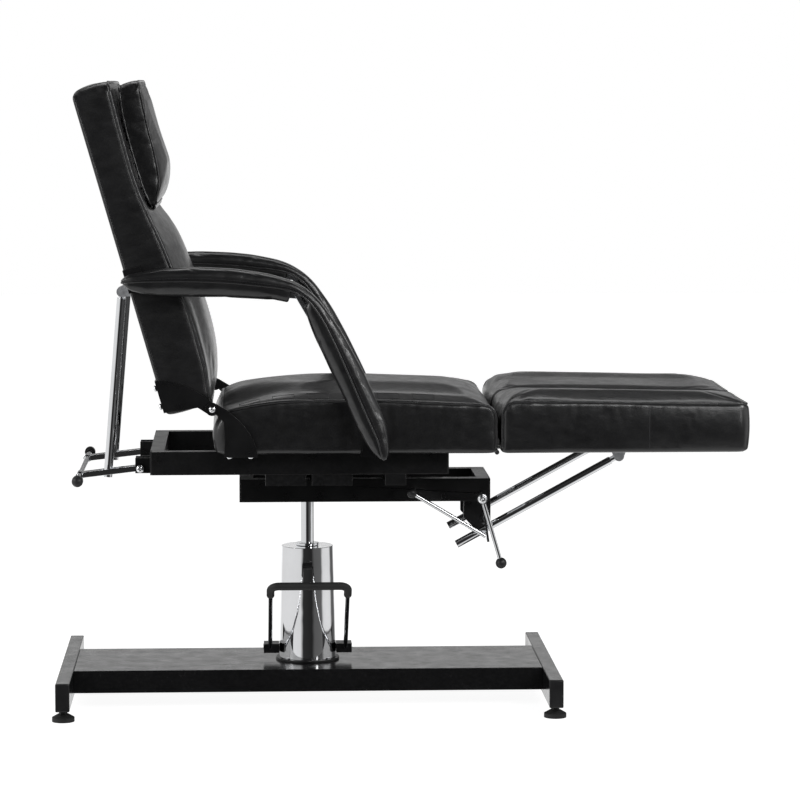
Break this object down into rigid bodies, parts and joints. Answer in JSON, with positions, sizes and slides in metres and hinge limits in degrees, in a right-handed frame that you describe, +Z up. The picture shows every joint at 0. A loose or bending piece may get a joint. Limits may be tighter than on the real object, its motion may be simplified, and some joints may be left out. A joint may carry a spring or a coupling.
{
  "type": "facial treatment bed",
  "caption": "Hydraulic treatment bed in black leatherette with reclining back, head pillow, armrests on parallel links, split leg rests, chrome column and foot pedal.",
  "frame": {"origin": "on the floor, in the middle of the bed's length and width", "axes": "+X towards the foot end, +Y to the patient's left, +Z up"},
  "size_m": [1.489, 0.722, 1.3536],
  "materials": {
    "black_metal": "satin black powder coat",
    "black_plastic": "moulded black plastic",
    "black_rubber": "matte black rubber",
    "chrome": "polished chrome plate",
    "steel": "zinc-plated steel",
    "leatherette": "satin black leatherette with piping and stitching",
    "board": "plywood behind black backing cloth",
    "strip": "woven hook-and-loop tape"
  },
  "bodies": {
    "base": {"base_beam": "black_metal", "base_bars": "black_metal", "bar_end_caps": "black_plastic", "levelling_feet": "black_rubber", "pump_base_ring": "black_metal", "pump_body": "steel", "pump_cover": "chrome", "pump_seal": "chrome", "pump_bolts": "steel"},
    "pedal": {"pedal_axle": "steel", "pedal_blocks": "black_metal", "pedal_bail": "chrome", "pedal_sleeve": "black_rubber"},
    "piston": {"piston_rod": "chrome"},
    "seat_frame": {"column_socket": "black_metal", "lower_side_rails": "black_metal", "lower_cross_rails": "black_metal", "upper_side_rails": "black_metal", "upper_cross_rails": "black_metal", "rail_end_plugs": "black_plastic", "cross_plates": "black_metal", "seat_board": "board", "seat_cushion": "leatherette", "seat_hinge_plates": "black_metal", "pivot_bolts": "steel", "handle_brackets": "black_metal", "leg_lock_bracket": "black_metal", "strut_brackets": "black_metal", "seat_hinge_leaves": "black_metal"},
    "backrest": {"back_board": "board", "back_cushion": "leatherette", "headrest_pillow": "leatherette", "headrest_strips": "strip", "back_hinge_plates": "black_metal", "rod_brackets": "black_metal", "arm_pivot_pins": "black_metal"},
    "strut_left": {"strut_bar_left": "steel", "strut_pad_left": "leatherette"},
    "strut_right": {"strut_bar_right": "steel", "strut_pad_right": "leatherette"},
    "arm_left": {"arm_bar_left": "steel", "arm_pad_left": "leatherette"},
    "arm_right": {"arm_bar_right": "steel", "arm_pad_right": "leatherette"},
    "back_rods": {"back_rods": "chrome"},
    "release_handle": {"handle_arms": "chrome", "handle_crossbar": "chrome", "handle_knobs": "black_plastic"},
    "leg_left": {"leg_board_left": "board", "leg_cushion_left": "leatherette", "leg_fittings_left": "black_metal"},
    "leg_right": {"leg_board_right": "board", "leg_cushion_right": "leatherette", "leg_fittings_right": "black_metal"},
    "leg_rod_left": {"leg_rod_left": "chrome"},
    "leg_rod_right": {"leg_rod_right": "chrome"},
    "leg_lock_left": {"leg_lock_left": "chrome", "lock_knob_left": "black_plastic"},
    "leg_lock_right": {"leg_lock_right": "chrome", "lock_knob_right": "black_plastic"}
  },
  "joints": [
    {"name": "lift", "type": "slide", "parent": "base", "child": "piston", "axis": [0, 0, 1], "range_m": [-0.085, 0.095]},
    {"name": "swivel", "type": "hinge", "parent": "piston", "child": "seat_frame", "pos_m": [-0.1955, 0, 0.49], "axis": [0, 0, 1], "continuous": true},
    {"name": "recline", "type": "hinge", "parent": "seat_frame", "child": "backrest", "pos_m": [-0.4005, 0, 0.667], "axis": [0, -1, 0], "range_deg": [0, 74]},
    {"name": "pedal_press", "type": "hinge", "parent": "base", "child": "pedal", "pos_m": [-0.1955, 0, 0.11], "axis": [1, 0, 0], "range_deg": [0, 18], "stiffness_Nm_per_rad": 4, "springref_deg": -28.65},
    {"name": "strut_left_swing", "type": "hinge", "parent": "seat_frame", "child": "strut_left", "pos_m": [-0.0565, 0.333, 0.64], "axis": [0, -1, 0], "range_deg": [0, 74]},
    {"name": "arm_left_elbow", "type": "hinge", "parent": "strut_left", "child": "arm_left", "pos_m": [-0.2155, 0.333, 0.914], "axis": [0, -1, 0], "range_deg": [-74, 0]},
    {"name": "strut_right_swing", "type": "hinge", "parent": "seat_frame", "child": "strut_right", "pos_m": [-0.0565, -0.333, 0.64], "axis": [0, -1, 0], "range_deg": [0, 74]},
    {"name": "arm_right_elbow", "type": "hinge", "parent": "strut_right", "child": "arm_right", "pos_m": [-0.2155, -0.333, 0.914], "axis": [0, -1, 0], "range_deg": [-74, 0]},
    {"name": "back_rod_pivot", "type": "hinge", "parent": "backrest", "child": "back_rods", "pos_m": [-0.5935, 0, 0.908], "axis": [0, -1, 0], "range_deg": [-20.8, 0]},
    {"name": "handle_turn", "type": "hinge", "parent": "seat_frame", "child": "release_handle", "pos_m": [-0.5565, 0, 0.529], "axis": [0, -1, 0], "range_deg": [0, 53.4]},
    {"name": "leg_left_drop", "type": "hinge", "parent": "seat_frame", "child": "leg_left", "pos_m": [0.207, 0.146, 0.565], "axis": [0, 1, 0], "range_deg": [0, 45]},
    {"name": "leg_rod_left_pivot", "type": "hinge", "parent": "leg_left", "child": "leg_rod_left", "pos_m": [0.4765, 0.15, 0.548], "axis": [0, 1, 0], "range_deg": [-8.2, 0]},
    {"name": "leg_right_drop", "type": "hinge", "parent": "seat_frame", "child": "leg_right", "pos_m": [0.207, -0.146, 0.565], "axis": [0, 1, 0], "range_deg": [0, 45]},
    {"name": "leg_rod_right_pivot", "type": "hinge", "parent": "leg_right", "child": "leg_rod_right", "pos_m": [0.4765, -0.15, 0.548], "axis": [0, 1, 0], "range_deg": [-8.2, 0]},
    {"name": "leg_lock_left_turn", "type": "hinge", "parent": "seat_frame", "child": "leg_lock_left", "pos_m": [0.1785, 0, 0.46], "axis": [0, -1, 0], "range_deg": [0, 8], "stiffness_Nm_per_rad": 1.5, "springref_deg": -28.65},
    {"name": "leg_lock_right_turn", "type": "hinge", "parent": "seat_frame", "child": "leg_lock_right", "pos_m": [0.1885, 0, 0.399], "axis": [0, 1, 0], "range_deg": [0, 10], "stiffness_Nm_per_rad": 1.5, "springref_deg": -28.65}
  ],
  "couplings": [
    {"joint": "back_rod_pivot", "follows": "recline", "ratio": -0.28},
    {"joint": "handle_turn", "follows": "recline", "ratio": 0.72},
    {"joint": "strut_left_swing", "follows": "recline", "ratio": 1},
    {"joint": "arm_left_elbow", "follows": "recline", "ratio": -1},
    {"joint": "leg_rod_left_pivot", "follows": "leg_left_drop", "ratio": -0.18},
    {"joint": "strut_right_swing", "follows": "recline", "ratio": 1},
    {"joint": "arm_right_elbow", "follows": "recline", "ratio": -1},
    {"joint": "leg_rod_right_pivot", "follows": "leg_right_drop", "ratio": -0.18}
  ]
}
